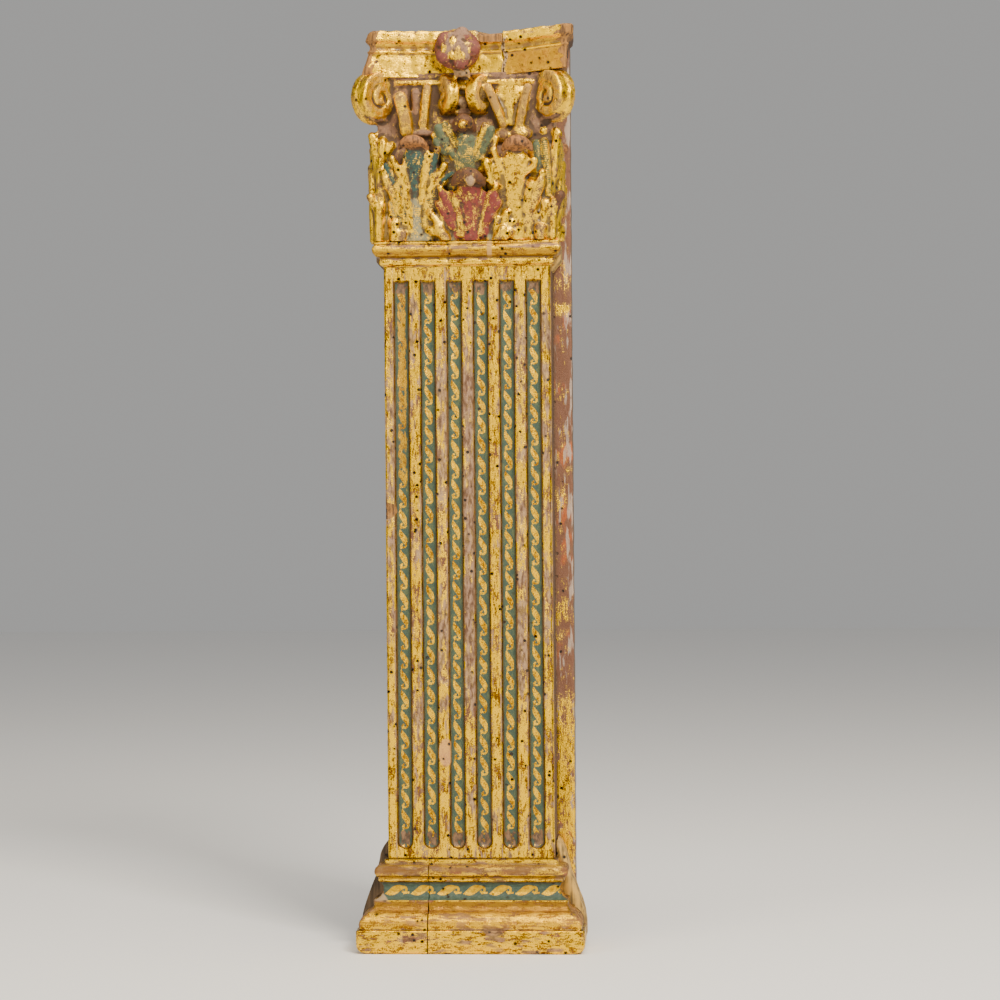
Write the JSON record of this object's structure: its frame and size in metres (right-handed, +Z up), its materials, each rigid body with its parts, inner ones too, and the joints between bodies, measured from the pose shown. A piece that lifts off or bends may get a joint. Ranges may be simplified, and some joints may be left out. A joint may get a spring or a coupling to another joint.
{
  "type": "fluted corinthian pilaster",
  "caption": "Carved, gilded and painted wooden pilaster with a fluted shaft, a moulded base and a Corinthian capital, on a flat back board.",
  "frame": {"origin": "middle of the underside, on the floor", "axes": "+Z up the shaft, the carved front faces -Y, +X to the right seen from the front"},
  "size_m": [0.2106, 0.1238, 0.85],
  "materials": {
    "gilding": "rubbed gold leaf over bole, with scrolls painted in teal green flutes",
    "carving": "rubbed gold leaf with red, teal and cream paint",
    "board": "worn bole and gold over old wood"
  },
  "bodies": {
    "root": {"shaft": "gilding", "base_left": "gilding", "base_right": "gilding", "abacus_right_end": "gilding", "capital": "carving", "back_board": "board"}
  },
  "joints": []
}
